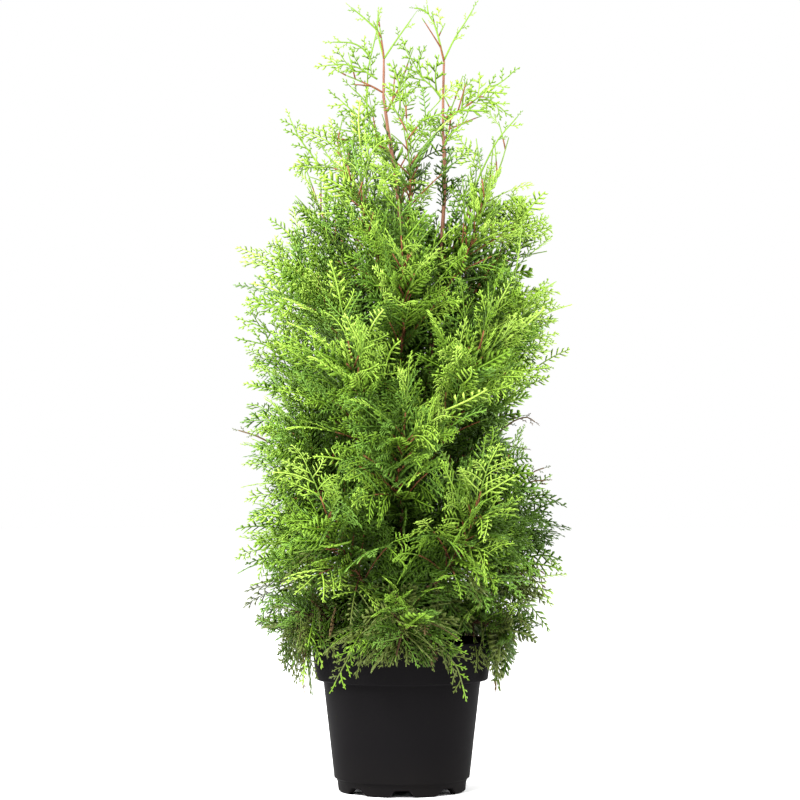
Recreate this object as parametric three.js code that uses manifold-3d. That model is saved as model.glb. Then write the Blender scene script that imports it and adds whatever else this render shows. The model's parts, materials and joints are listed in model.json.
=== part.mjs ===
// A young thuja in its nursery pot: a tapered pot with a deep rim band, the compost in it, a trunk with
// a second leader, fifteen main boughs, and the masses of flat fern-like sprays that make the crown.
// Millimetres, +Z up. The origin is the middle of the pot's underside; -Y is the front, +X the right.
import * as THREE from 'three';
import { mergeVertices } from 'three/addons/utils/BufferGeometryUtils.js';
import Module from 'manifold-3d';

const wasm = await Module();
wasm.setup();

const RAD = Math.PI / 180;
const UP = new THREE.Vector3(0, 0, 1);
const { lerp } = THREE.MathUtils;

// ---------------------------------------------------------------- driving dimensions

const GAP = 0.3; // clear gap between two pieces that meet

const POT = {
  height: 232,
  rimRadius: 140,
  rimFootRadius: 133,
  rimBase: 172, // where the rim band starts
  bodyTopRadius: 121.5,
  bodyFootRadius: 104.5,
  bodyBase: 21,
  footRadius: 99,
  footTop: 18,
  footWall: 11,
  wall: 2.5,
  floor: 11, // top of the floor inside
  recess: 8, // underside of the floor between foot ring and middle pad
  padRadius: 30,
  lip: 7, // width of the rim's top edge
  edge: 2, // its bevel
  fillet: 4, // between wall and floor inside
  sides: 32,
};
const NOTCH = { count: 8, clear: 20, foot: 48, height: 11 }; // drainage gaps in the foot ring
const DRAIN = { count: 6, radius: 7, ring: 60, sides: 8 }; // holes through the floor
const COMPOST_TOP = 205;

// Trunk and second leader: their routes, then radius at the foot and at the tip.
const TRUNK = {
  route: [
    [0, 0, COMPOST_TOP + GAP], [2, 1, 380], [-1, -2, 600], [2, 0, 834],
    [-9, 0, 942], [-28, 0, 1066], [-28, 0, 1131],
  ],
  rootRadius: 10.5,
  tipRadius: 1.9,
  flare: 7, // added to the radius at the ground
  flareHeight: 18,
  levelHeight: 20, // how far the foot rises straight up from its flat cut
  steps: 16,
  sides: 7,
};
const RIGHT_LEADER = {
  route: [
    [1, 0, 372], [12, -8, 430], [31, -16, 540], [45, -22, 679],
    [66, -24, 930], [63, -18, 1027], [65, -14, 1125],
  ],
  rootRadius: 5.6,
  tipRadius: 1.8,
  steps: 14,
  sides: 6,
};
const BOUGH = { rootRadius: 5, tipRadius: 3.1, steps: 4, sides: 5, sway: 7 };
const STEM = { steps: 5, straight: 6, sway: 6, coreSides: 5, sides: 3 }; // a mass's stem

// The crown's outer radius at each height.
const CROWN = [
  [130, 158], [200, 178], [250, 232], [400, 256], [560, 264], [740, 266],
  [860, 248], [920, 214], [1040, 186], [1120, 138], [1170, 96], [1214, 62],
];
const CLEAR = { pot: 3, limb: 1.2, space: 1.5 }; // what foliage keeps from rim, limbs and other masses

// How a mass of foliage grows. Twigs leave its stem by the golden angle, spread from it by `spread`, then
// lean outward and upward, and each ends in a flat spray. `core` is how far the stem of a dense mass swells
// inside its twigs, and a `fork` gives each twig a smaller side twig.
const GOLDEN_ANGLE = 137.5;
const FORK_ANGLE = 50;
const END_SPREAD = 6;
const JITTER = { place: 0.4, roll: 60, spread: 16, face: 90 };
const DENSE = {
  twigs: 6, first: 0.06, spread: 66, outward: 0.25, upward: 0, stalk: 28, length: 124, width: 124,
  lobes: 3, notch: 0.46, rib: 3, droop: 0.1, fork: 0, core: 32, stemRadius: 3, tipRadius: 1.5,
};
const SKIRT = {
  ...DENSE, twigs: 7, first: 0.3, spread: 84, outward: 0.12, upward: -0.75, stalk: 12, length: 96, width: 90,
  core: 9,
};
const LOW = { ...DENSE, upward: -0.25 };
const TRUNK_SIDE = { ...DENSE, first: 0.3 };
const SHOULDER = {
  ...DENSE, twigs: 5, first: 0.24, length: 104, width: 84, upward: 0.15, stalk: 22, core: 14,
};
const SPARSE = {
  ...DENSE, twigs: 3, first: 0.28, spread: 48, outward: 0.1, upward: 0.25, stalk: 16, length: 46, width: 26,
  lobes: 2, notch: 0.26, rib: 2.4, droop: 0.04, fork: 0.66, core: 0, stemRadius: 1.9, tipRadius: 1.3,
};
const TIP = { ...SPARSE, first: 0.12, spread: 42, length: 42, width: 20, stalk: 26, stemRadius: 1.7 };
// The sizes a twig and a core are tried at, and the size below which a fan has two pairs of teeth.
const TWIG_TRIES = [1.15, 1.1, 1, 1, 0.92, 0.92, 0.85, 0.85, 0.76, 0.76, 0.68, 0.68, 0.6, 0.5, 0.4];
const CORE_TRIES = [1, 0.8, 0.6, 0.4];
const SMALL_TWIG = 0.8;

// A limb's arc: how steeply it climbs at its start and at its end, in degrees, and its length.
const arc = (rise, endRise, length) => ({ rise, endRise, length });

// Whorls of boughs that each end in a mass. The first bough leaves at the height `base` and heads `first`
// degrees round from +X, and each next one leaves `climb` higher.
const BOUGH_TIERS = [
  {
    name: 'skirt', style: SKIRT, base: 232, climb: 2, first: -18,
    bough: arc(24, 8, 104), stem: arc(2, -34, 84),
  },
  {
    name: 'low', style: LOW, base: 250, climb: 8, first: 18,
    bough: arc(22, 30, 106), stem: arc(36, 68, 136),
  },
  {
    name: 'lower', style: DENSE, base: 312, climb: 11, first: -18,
    bough: arc(40, 48, 116), stem: arc(44, 68, 138),
  },
];
// Whorls of masses whose stems leave the trunk or the second leader directly.
const TRUNK_TIERS = [
  { name: 'middle', style: TRUNK_SIDE, count: 5, base: 428, climb: 14, first: 18, stem: arc(40, 60, 252) },
  { name: 'upper', style: TRUNK_SIDE, count: 5, base: 560, climb: 14, first: -18, stem: arc(40, 62, 256) },
  { name: 'high', style: TRUNK_SIDE, count: 5, base: 686, climb: 14, first: 18, stem: arc(42, 68, 248) },
  { name: 'shoulder', style: SHOULDER, count: 4, base: 812, climb: 6, first: 4, stem: arc(46, 76, 226) },
];
const BOUGHS_A_WHORL = 5;
const LEADER_SECTOR = 62; // stems that head within this angle of +X leave the second leader

// The open top: single shoots off the two leaders, each a sparse mass. `at` is the height it leaves from.
const TOP_SHOOTS = [
  { name: 'left_upper', limb: 'trunk', at: 1078, heading: 176, stem: arc(30, 22, 66) },
  { name: 'left_comb', limb: 'trunk', at: 984, heading: 188, stem: arc(36, -4, 74) },
  { name: 'middle_top', limb: 'trunk', at: 1046, heading: -28, stem: arc(52, 74, 70) },
  { name: 'right_upper', limb: 'right_leader', at: 1036, heading: 6, stem: arc(24, 46, 92) },
  { name: 'right_back', limb: 'right_leader', at: 1002, heading: 62, stem: arc(50, 70, 80) },
];
// The ends of the two leaders, whose first twig forks to the right.
const LEADER_ENDS = [
  { name: 'left_tip', limb: 'trunk', heading: 196, roll: -90, stem: arc(84, 80, 50) },
  { name: 'right_tip', limb: 'right_leader', heading: 170, roll: -90, stem: arc(78, 72, 60) },
];

const COLOURS = {
  pot: { color: 0x1d1c1d, roughness: 0.5 },
  compost: { color: 0x3a2b20, roughness: 1 },
  bark: { color: 0x8a5a3c, roughness: 0.85 },
  foliage: { color: 0x6fa03c, roughness: 0.75 },
};

// ---------------------------------------------------------------- solids

// A repeatable stream of numbers from 0 to 1.
function seededRandom(seed) {
  let state = seed;
  return () => {
    state = (state + 0x6d2b79f5) | 0;
    let t = Math.imul(state ^ (state >>> 15), 1 | state);
    t = (t + Math.imul(t ^ (t >>> 7), 61 | t)) ^ t;
    return ((t ^ (t >>> 14)) >>> 0) / 4294967296;
  };
}

// A closed three.js geometry as a solid that can be joined and cut, whichever way its faces wind.
function solidOf(geometry) {
  const bare = geometry.clone();
  bare.deleteAttribute('normal');
  bare.deleteAttribute('uv');
  const merged = mergeVertices(bare, 1e-4);
  const vertProperties = merged.attributes.position.array;
  const index = Array.from(merged.index.array);
  const faces = [];
  let volume = 0;
  const [a, b, c] = [new THREE.Vector3(), new THREE.Vector3(), new THREE.Vector3()];
  for (let i = 0; i < index.length; i += 3) {
    const [p, q, r] = index.slice(i, i + 3);
    if (p !== q && q !== r && r !== p) {
      faces.push([p, q, r]);
      b.fromArray(vertProperties, 3 * q).cross(c.fromArray(vertProperties, 3 * r));
      volume += a.fromArray(vertProperties, 3 * p).dot(b);
    }
  }
  const outward = volume > 0 ? faces : faces.map(([p, q, r]) => [p, r, q]);
  const triVerts = new Uint32Array(outward.flat());
  return new wasm.Manifold(new wasm.Mesh({ numProp: 3, vertProperties, triVerts }));
}

// The named mesh of a solid. Only its largest body is kept, which fills any hollow that joining sealed.
function meshOf(name, solid, look) {
  const bodies = solid.decompose();
  bodies.sort((one, other) => other.volume() - one.volume());
  const data = bodies[0].getMesh();
  const geometry = new THREE.BufferGeometry();
  geometry.setAttribute('position', new THREE.BufferAttribute(data.vertProperties, 3));
  geometry.setIndex(new THREE.BufferAttribute(data.triVerts, 1));
  geometry.computeVertexNormals();
  const mesh = new THREE.Mesh(geometry, new THREE.MeshStandardMaterial({ ...COLOURS[look], metalness: 0 }));
  mesh.name = name;
  return mesh;
}

// A profile of [radius, height] points turned about the Z axis.
function turned(profile) {
  const points = profile.map(([radius, height]) => new THREE.Vector2(radius, height));
  return solidOf(new THREE.LatheGeometry(points, POT.sides).rotateX(90 * RAD));
}

// The unit vector that heads `heading` degrees round from +X and climbs `climb` degrees.
function direction(heading, climb) {
  const level = Math.cos(climb * RAD);
  return new THREE.Vector3(
    level * Math.cos(heading * RAD), level * Math.sin(heading * RAD), Math.sin(climb * RAD),
  );
}

// A limb's path: it starts at `from`, and its climb turns evenly from `rise` to `endRise`.
function limbPath(from, heading, { rise, endRise, length }, steps, sway = 0) {
  const path = [from.clone()];
  for (let i = 0; i < steps; i += 1) {
    const t = (i + 0.5) / steps;
    const step = direction(heading + sway * Math.sin(2 * Math.PI * t), lerp(rise, endRise, t));
    path.push(path.at(-1).clone().addScaledVector(step, length / steps));
  }
  return path;
}

function routePath({ route, steps }) {
  return new THREE.CatmullRomCurve3(route.map((point) => new THREE.Vector3(...point))).getSpacedPoints(steps);
}

// The frame of each ring along a path: its tangent, and two directions across that don't twist.
function pathFrames(path) {
  let across = new THREE.Vector3(0, 1, 0);
  return path.map((point, i) => {
    const tangent = path[Math.min(i + 1, path.length - 1)].clone().sub(path[Math.max(i - 1, 0)]).normalize();
    across = across.clone().addScaledVector(tangent, -across.dot(tangent)).normalize();
    return { point, tangent, across, over: tangent.clone().cross(across) };
  });
}

// The frame part of the way along a path, t from 0 to 1.
function frameAt(frames, t) {
  const place = t * (frames.length - 1);
  const i = Math.min(Math.floor(place), frames.length - 2);
  return { ...frames[i], point: frames[i].point.clone().lerp(frames[i + 1].point, place - i) };
}

// A point `reach` off a frame's middle, `turn` degrees round it.
function offFrame({ point, across, over }, reach, turn) {
  const moved = point.clone().addScaledVector(across, reach * Math.cos(turn * RAD));
  return moved.addScaledVector(over, reach * Math.sin(turn * RAD));
}

// A tube along a path whose radius is radiusAt(0..1): a lathed profile, each ring moved to its place.
function tube(path, radiusAt, sides) {
  const last = path.length - 1;
  const profile = path.map((_, i) => new THREE.Vector2(radiusAt(i / last), i));
  const closed = [new THREE.Vector2(0, 0), ...profile, new THREE.Vector2(0, last)];
  const geometry = new THREE.LatheGeometry(closed, sides);
  const frames = pathFrames(path);
  const position = geometry.attributes.position;
  for (let i = 0; i < position.count; i += 1) {
    const { point, across, over } = frames[Math.round(position.getY(i))];
    const moved = point.clone().addScaledVector(across, position.getX(i)).addScaledVector(over, position.getZ(i));
    position.setXYZ(i, moved.x, moved.y, moved.z);
  }
  return solidOf(geometry);
}

// A limb, and the same limb grown by a clearance, which neighbours are cut or kept clear with.
function limb(path, radiusAt, sides) {
  const grown = (clear) => tube(path, (t) => radiusAt(t) + clear / Math.cos(Math.PI / sides), sides);
  return { path, solid: grown(0), gapped: grown(GAP), guarded: grown(CLEAR.limb) };
}

// ---------------------------------------------------------------- pot and compost

// The inside of the pot from the floor up, as [radius, height], drawn in by `clear`.
function potInside(clear) {
  return [
    [POT.bodyFootRadius - POT.wall - POT.fillet - clear, POT.floor + clear],
    [POT.bodyFootRadius - POT.wall - clear, POT.bodyBase],
    [POT.bodyTopRadius - POT.wall - clear, POT.rimBase],
    [POT.rimFootRadius - POT.wall - 1 - clear, POT.rimBase + 5],
    [POT.rimRadius - POT.lip - clear, POT.height],
  ];
}

function makePot() {
  const ringInside = POT.footRadius - POT.footWall;
  let pot = turned([
    [0, 0], [POT.padRadius, 0], [POT.padRadius + 2, POT.recess], [ringInside - 2, POT.recess],
    [ringInside, 0], [POT.footRadius, 0], [POT.footRadius + 0.5, POT.footTop], [POT.bodyFootRadius, POT.bodyBase],
    [POT.bodyTopRadius, POT.rimBase - POT.edge], [POT.rimFootRadius, POT.rimBase],
    [POT.rimRadius, POT.height - 2 * POT.edge], [POT.rimRadius - POT.edge, POT.height],
    ...potInside(0).reverse(), [0, POT.floor],
  ]);

  // Notches with sloped sides let the foot ring drain.
  const [foot, clear] = [NOTCH.foot / 2, NOTCH.clear / 2];
  const outline = [[-foot, -1], [foot, -1], [clear, NOTCH.height], [-clear, NOTCH.height]];
  const notch = new THREE.Shape(outline.map(([x, z]) => new THREE.Vector2(x, z)));
  const depth = 2 * POT.footWall;
  for (let i = 0; i < NOTCH.count; i += 1) {
    const cutter = new THREE.ExtrudeGeometry(notch, { depth, bevelEnabled: false }).rotateX(90 * RAD);
    cutter.translate(0, -(ringInside - POT.footWall / 2), 0).rotateZ((i * 360 * RAD) / NOTCH.count);
    pot = pot.subtract(solidOf(cutter));
  }
  for (let i = 0; i < DRAIN.count; i += 1) {
    const place = direction(((i + 0.5) * 360) / DRAIN.count, 0).multiplyScalar(DRAIN.ring);
    const drill = new THREE.CylinderGeometry(DRAIN.radius, DRAIN.radius, 3 * POT.floor, DRAIN.sides);
    pot = pot.subtract(solidOf(drill.rotateX(90 * RAD).translate(place.x, place.y, 0)));
  }
  return pot;
}

function makeCompost() {
  const inside = potInside(GAP / Math.cos(Math.PI / POT.sides));
  const [low, high] = inside.slice(-2);
  const topRadius = lerp(low[0], high[0], (COMPOST_TOP - low[1]) / (high[1] - low[1]));
  return turned([[0, inside[0][1]], ...inside.slice(0, -1), [topRadius, COMPOST_TOP], [0, COMPOST_TOP]]);
}

// ---------------------------------------------------------------- limbs

function makeTrunk() {
  const path = routePath(TRUNK);
  const height = path.at(-1).z - path[0].z;
  // The second ring stands straight over the first, so that the foot is cut level at the ground.
  path.splice(1, 0, path[0].clone().addScaledVector(UP, TRUNK.levelHeight));
  const radiusAt = (t) => {
    const flare = TRUNK.flare * Math.exp((-1.5 * t * height) / TRUNK.flareHeight);
    return lerp(TRUNK.rootRadius, TRUNK.tipRadius, t ** 0.8) + flare;
  };
  return limb(path, radiusAt, TRUNK.sides);
}

function makeRightLeader(trunk) {
  const radiusAt = (t) => lerp(RIGHT_LEADER.rootRadius, RIGHT_LEADER.tipRadius, t);
  const leader = limb(routePath(RIGHT_LEADER), radiusAt, RIGHT_LEADER.sides);
  return { ...leader, solid: leader.solid.subtract(trunk.gapped) };
}

function makeBough(tier, k, trunk) {
  const heading = tier.first + (k * 360) / BOUGHS_A_WHORL;
  const from = pointAtHeight(trunk, tier.base + tier.climb * k);
  const path = limbPath(from, heading, tier.bough, BOUGH.steps, BOUGH.sway * (k % 2 ? 1 : -1));
  const bough = limb(path, (t) => lerp(BOUGH.rootRadius, BOUGH.tipRadius, t), BOUGH.sides);
  return { ...bough, heading, name: `bough_${tier.name}_${k + 1}`, solid: bough.solid.subtract(trunk.gapped) };
}

// The point on a limb's path at a height, for a shoot to leave from.
function pointAtHeight({ path }, height) {
  const above = Math.max(path.findIndex((point) => point.z > height), 1);
  const [low, high] = [path[above - 1], path[above]];
  return low.clone().lerp(high, (height - low.z) / (high.z - low.z));
}

// The path of a stem that carries straight on from a limb's flat tip, a gap clear of it, and then bends.
function stemFromTip({ path }, heading, stem) {
  const onward = path.at(-1).clone().sub(path.at(-2)).normalize();
  const start = path.at(-1).clone().addScaledVector(onward, GAP);
  return [start, ...limbPath(start.clone().addScaledVector(onward, STEM.straight), heading, stem, STEM.steps)];
}

// ---------------------------------------------------------------- foliage

// One twig along +Y, whose three-sided stalk widens into a flat fan at the origin. The fan has teeth that
// point forward and a raised rib on +Z. Each row of the outline is a ridge, a left and a right point.
function twigPoints({ stalk, length, width, lobes, notch, rib }) {
  const pitch = (0.88 * length) / lobes;
  const halfWidth = (i) => (width / 2) * Math.sin(Math.PI * (0.25 + (0.7 * (i + 0.5)) / lobes));
  const thin = 0.6 * rib;
  const points = [[0, -stalk, rib], [-thin, -stalk, 0], [thin, -stalk, 0]];
  for (let i = 0; i <= lobes; i += 1) {
    const y = i * pitch;
    const narrow = i === 0 ? thin : Math.max(thin, notch * halfWidth(i - 0.5));
    points.push([0, y, rib * (1 - (0.45 * i) / lobes)], [-narrow, y, 0], [narrow, y, 0]);
    if (i < lobes) {
      points.push([-halfWidth(i), y + 1.2 * pitch, 0], [halfWidth(i), y + 1.2 * pitch, 0]);
    }
  }
  points.push([0, length, 0]);
  return points.map((point) => new THREE.Vector3(...point));
}

function twigFaces(lobes) {
  const faces = [[0, 1, 2], [0, 2, 5], [0, 5, 3], [0, 4, 1], [0, 3, 4], [1, 4, 5], [1, 5, 2]];
  for (let i = 0; i < lobes; i += 1) {
    const row = [3, 4, 5, 6, 7, 8, 9, 10].map((k) => 5 * i + k);
    const [ridge, left, right, leftTip, rightTip, nextRidge, nextLeft, nextRight] = row;
    faces.push([ridge, right, rightTip], [ridge, rightTip, nextRight], [ridge, nextRight, nextRidge]);
    faces.push([ridge, leftTip, left], [ridge, nextLeft, leftTip], [ridge, nextRidge, nextLeft]);
    faces.push([right, nextRight, rightTip], [left, leftTip, nextLeft]);
    faces.push([left, nextLeft, nextRight], [left, nextRight, right]);
  }
  const [ridge, left, right, apex] = [3, 4, 5, 6].map((k) => 5 * lobes + k);
  faces.push([ridge, right, apex], [ridge, apex, left], [left, apex, right]);
  return faces;
}

// A twig in its place: it leaves `base` along `along`, its face turned to `facing`, and its fan droops.
function placeTwig(style, base, along, facing) {
  const across = along.clone().cross(facing).normalize();
  const fanRoot = base.clone().addScaledVector(along, style.stalk);
  const turn = new THREE.Matrix4().makeBasis(across, along, across.clone().cross(along)).setPosition(fanRoot);
  const points = twigPoints(style).map((point) => {
    const reach = Math.max(point.y, 0) / style.length;
    const placed = point.applyMatrix4(turn);
    placed.z -= style.droop * style.length * reach * reach;
    return placed;
  });
  const geometry = new THREE.BufferGeometry().setFromPoints(points);
  geometry.setIndex(twigFaces(style.lobes).flat());
  return { points: points.slice(3), solid: solidOf(geometry) };
}

// A twig of a given size, its fan simpler where it is small, with a side twig on a forked style.
function growTwig(style, base, { along, facing }, size, hand) {
  const sized = (scale, lobes) => ({
    ...style, lobes, stalk: style.stalk * scale, length: style.length * scale, width: style.width * scale,
  });
  const twigs = [placeTwig(sized(size, size < SMALL_TWIG ? 2 : style.lobes), base, along, facing)];
  if (style.fork > 0) {
    const aside = along.clone().applyAxisAngle(facing, hand * FORK_ANGLE * RAD);
    const fork = base.clone().addScaledVector(along, 0.5 * style.stalk * size);
    twigs.push(placeTwig({ ...sized(size * style.fork, 1), stalk: 3 }, fork, aside, facing));
  }
  return { solids: twigs.map((twig) => twig.solid), points: twigs.flatMap((twig) => twig.points) };
}

// Which way a twig grows and faces: `roll` round the stem, then leaned outward and up, its face turned
// out of the crown and twisted at random.
function twigPose(style, frame, roll, isEnd, random) {
  const aside = offFrame(frame, 1, roll).sub(frame.point);
  const spread = (isEnd ? END_SPREAD : style.spread + JITTER.spread * (random() - 0.5)) * RAD;
  const outward = new THREE.Vector3(frame.point.x, frame.point.y, 0).normalize();
  const along = frame.tangent.clone().multiplyScalar(Math.cos(spread)).addScaledVector(aside, Math.sin(spread));
  along.addScaledVector(outward, isEnd ? 0.1 : style.outward).addScaledVector(UP, style.upward).normalize();
  const facing = outward.multiplyScalar(0.7).add(UP);
  facing.addScaledVector(along, -facing.dot(along)).normalize();
  return { along, facing: facing.applyAxisAngle(along, JITTER.face * (random() - 0.5) * RAD) };
}

// The distance from a point to a path.
function distanceTo(path, point) {
  let nearest = Infinity;
  const span = new THREE.Line3();
  const foot = new THREE.Vector3();
  for (let i = 1; i < path.length; i += 1) {
    span.set(path[i - 1], path[i]).closestPointToPoint(point, true, foot);
    nearest = Math.min(nearest, foot.distanceTo(point));
  }
  return nearest;
}

function crownRadius(height) {
  const above = CROWN.findIndex(([z]) => z > height);
  if (above < 1) {
    return 0;
  }
  const [[lowZ, lowRadius], [highZ, highRadius]] = [CROWN[above - 1], CROWN[above]];
  return lerp(lowRadius, highRadius, (height - lowZ) / (highZ - lowZ));
}

// A mass's own space: inside the crown, clear of the pot, and nearer its own stem than any other.
function inOwnSpace(mass, masses, point) {
  const radius = Math.hypot(point.x, point.y);
  const atPot = point.z < POT.height + CLEAR.pot && radius < POT.rimRadius + CLEAR.pot;
  if (atPot || radius > crownRadius(point.z)) {
    return false;
  }
  const own = distanceTo(mass.stem, point) + CLEAR.space;
  return masses.every((other) => other === mass || distanceTo(other.stem, point) > own);
}

// A mass's stem, swollen between its first twig and its tip into as wide a core as its own space allows.
function makeStem(mass, masses, guard) {
  const { style, stem } = mass;
  const last = stem.length - 1;
  const radiusAt = (core) => (t) => {
    const swell = t > style.first ? Math.sin((Math.PI * (t - style.first)) / (1 - style.first)) : 0;
    return lerp(style.stemRadius, style.tipRadius, t) + core * swell;
  };
  for (const scale of style.core > 0 ? CORE_TRIES : []) {
    const radius = radiusAt(scale * style.core);
    const rings = pathFrames(stem).slice(1).map((frame, i) => (
      [0, 60, 120, 180, 240, 300].map((turn) => offFrame(frame, radius((i + 1) / last), turn))
    ));
    const afterRoot = tube(stem.slice(1), (t) => radius(lerp(1 / last, 1, t)), STEM.coreSides);
    const fits = rings.flat().every((point) => inOwnSpace(mass, masses, point));
    if (fits && afterRoot.intersect(guard).isEmpty()) {
      return tube(stem, radius, STEM.coreSides);
    }
  }
  return tube(stem, radiusAt(0), STEM.sides);
}

// A mass: its stem, and twigs tried from full size down until one keeps to the mass's own space, clear of
// the limbs and of the twigs before it. A twig that fits at no size is left out.
function growMass(mass, masses, guard) {
  const { style, stem } = mass;
  const random = seededRandom(mass.seed);
  const frames = pathFrames(stem);
  const bare = makeStem(mass, masses, guard);
  const grown = [mass.parent ? bare.subtract(mass.parent.gapped) : bare];
  for (let k = 0; k <= style.twigs; k += 1) {
    const isEnd = k === style.twigs;
    const place = isEnd ? 1 : lerp(style.first, 0.94, (k + JITTER.place * random()) / style.twigs);
    const frame = frameAt(frames, place);
    for (const size of TWIG_TRIES) {
      const roll = mass.roll + k * GOLDEN_ANGLE + JITTER.roll * (random() - 0.5);
      const pose = twigPose(style, frame, roll, isEnd, random);
      const twig = growTwig(isEnd ? { ...style, stalk: 12 } : style, frame.point, pose, size, k % 2 ? 1 : -1);
      const others = [guard, ...grown.slice(1)];
      const inside = twig.points.every((corner) => inOwnSpace(mass, masses, corner));
      if (inside && twig.solids.every((one) => others.every((other) => one.intersect(other).isEmpty()))) {
        grown.push(...twig.solids);
        break;
      }
    }
  }
  return wasm.Manifold.union(grown);
}

// ---------------------------------------------------------------- the whole plant

const trunk = makeTrunk();
const rightLeader = makeRightLeader(trunk);
const leaders = { trunk, right_leader: rightLeader };
const boughs = [];
const masses = [];

function addMass(name, style, stem, parent = null, roll = 120 * masses.length) {
  masses.push({ name: `foliage_${name}`, style, stem, parent, roll, seed: 101 + 17 * masses.length });
}

for (const tier of BOUGH_TIERS) {
  for (let k = 0; k < BOUGHS_A_WHORL; k += 1) {
    const bough = makeBough(tier, k, trunk);
    boughs.push(bough);
    addMass(`${tier.name}_${k + 1}`, tier.style, stemFromTip(bough, bough.heading, tier.stem));
  }
}
for (const tier of TRUNK_TIERS) {
  for (let k = 0; k < tier.count; k += 1) {
    const heading = tier.first + (k * 360) / tier.count;
    const fromRight = Math.abs(((heading + 540) % 360) - 180);
    const parent = fromRight < LEADER_SECTOR ? rightLeader : trunk;
    const from = pointAtHeight(parent, tier.base + tier.climb * k);
    addMass(`${tier.name}_${k + 1}`, tier.style, limbPath(from, heading, tier.stem, STEM.steps, STEM.sway), parent);
  }
}
for (const shoot of TOP_SHOOTS) {
  const parent = leaders[shoot.limb];
  const stem = limbPath(pointAtHeight(parent, shoot.at), shoot.heading, shoot.stem, STEM.steps);
  addMass(shoot.name, SPARSE, stem, parent);
}
for (const end of LEADER_ENDS) {
  addMass(end.name, TIP, stemFromTip(leaders[end.limb], end.heading, end.stem), null, end.roll);
}

const limbs = [trunk, rightLeader, ...boughs];
const guard = wasm.Manifold.union(limbs.map(({ guarded }) => guarded));

const plant = new THREE.Group();
plant.name = 'potted_thuja';
plant.add(meshOf('pot', makePot(), 'pot'));
plant.add(meshOf('compost', makeCompost(), 'compost'));
plant.add(meshOf('trunk', trunk.solid, 'bark'));
plant.add(meshOf('right_leader', rightLeader.solid, 'bark'));
for (const bough of boughs) {
  plant.add(meshOf(bough.name, bough.solid, 'bark'));
}
for (const mass of masses) {
  plant.add(meshOf(mass.name, growMass(mass, masses, guard), 'foliage'));
}

export default plant;
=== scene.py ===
"""A young potted thuja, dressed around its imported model: pot, compost, bark, twigs and sprays of foliage."""

import json
import math

import bmesh
import bpy
import numpy as np
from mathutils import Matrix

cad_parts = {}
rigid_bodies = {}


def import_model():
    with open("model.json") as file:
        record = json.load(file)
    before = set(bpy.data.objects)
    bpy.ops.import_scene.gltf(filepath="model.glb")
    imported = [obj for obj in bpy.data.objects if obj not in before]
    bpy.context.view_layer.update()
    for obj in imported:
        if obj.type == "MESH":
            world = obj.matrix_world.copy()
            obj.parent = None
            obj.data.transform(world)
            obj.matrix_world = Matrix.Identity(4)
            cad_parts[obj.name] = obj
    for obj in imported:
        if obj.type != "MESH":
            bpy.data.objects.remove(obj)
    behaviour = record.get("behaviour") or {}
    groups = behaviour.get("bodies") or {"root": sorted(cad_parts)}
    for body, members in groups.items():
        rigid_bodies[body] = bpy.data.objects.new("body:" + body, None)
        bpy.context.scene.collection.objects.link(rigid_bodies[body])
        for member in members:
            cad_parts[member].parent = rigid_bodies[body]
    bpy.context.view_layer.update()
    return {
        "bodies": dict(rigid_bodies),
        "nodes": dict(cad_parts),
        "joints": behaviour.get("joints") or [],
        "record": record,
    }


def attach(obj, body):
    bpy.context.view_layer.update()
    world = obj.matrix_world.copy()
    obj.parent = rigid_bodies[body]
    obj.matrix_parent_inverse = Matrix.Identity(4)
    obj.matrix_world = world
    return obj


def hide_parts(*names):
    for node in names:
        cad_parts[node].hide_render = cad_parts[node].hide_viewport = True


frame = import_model()
MM = 0.001  # the frame is in metres, and the sizes below are in millimetres


# ---- Nursery pot
# A tapered container of black polypropylene, injection moulded in one piece, with a deep rim band that
# stiffens its mouth. Eight notches in its foot ring and six holes in its floor let water drain.

POT_SIDES = 128
POT_HEIGHT = 232
RIM_RADIUS = 140
POT_OUTSIDE = [  # radius and height, from the middle pad underneath up to the rim
    (30, 0), (32, 8), (86, 8), (88, 0), (96, 0), (99, 3), (99.5, 18), (104.5, 21.5), (121.2, 168.5),
    (121.6, 171), (131.5, 171.4), (133, 173), (139.6, 228.5), (140, 230.5), (138.6, 232),
]
POT_INSIDE = [(134.6, 232), (133.2, 230.5), (129.5, 177), (119, 172), (102, 21), (98, 11)]
FLOOR_HEIGHT = 9
NOTCH_COUNT = 8
NOTCH_SIZE = (20, 30, 12)  # across the notch, through the foot ring and upward
NOTCH_PLACE = (0, -94, 5)
NOTCH_FLARE = 2.2  # how much wider a notch is at the ground
DRAIN_COUNT = 6
DRAIN_RING = 60
DRAIN_RADIUS = 7


def select_only(*objects):
    """Leaves just these objects selected, the last one active."""
    bpy.ops.object.select_all(action="DESELECT")
    for one in objects:
        one.select_set(True)
        bpy.context.view_layer.objects.active = one


def turned(name, profile, sides):
    """A closed solid of revolution: one ring, extruded and scaled along a profile of (radius, height)."""
    (radius, height), *rest = profile
    bpy.ops.mesh.primitive_circle_add(vertices=sides, radius=radius * MM, location=(0, 0, height * MM))
    solid = bpy.context.object
    solid.name = name
    bpy.ops.object.mode_set(mode="EDIT")
    bpy.ops.mesh.select_all(action="SELECT")
    bpy.ops.mesh.edge_face_add()
    for next_radius, next_height in rest:
        rise = (0, 0, (next_height - height) * MM)
        bpy.ops.mesh.extrude_edges_move(TRANSFORM_OT_translate={"value": rise})
        widen = next_radius / radius
        bpy.ops.transform.resize(value=(widen, widen, 1), center_override=(0, 0, 0))
        radius, height = next_radius, next_height
    bpy.ops.mesh.edge_face_add()
    bpy.ops.mesh.select_all(action="SELECT")
    bpy.ops.mesh.normals_make_consistent(inside=False)
    bpy.ops.object.mode_set(mode="OBJECT")
    bpy.ops.object.transform_apply()
    return solid


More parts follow.
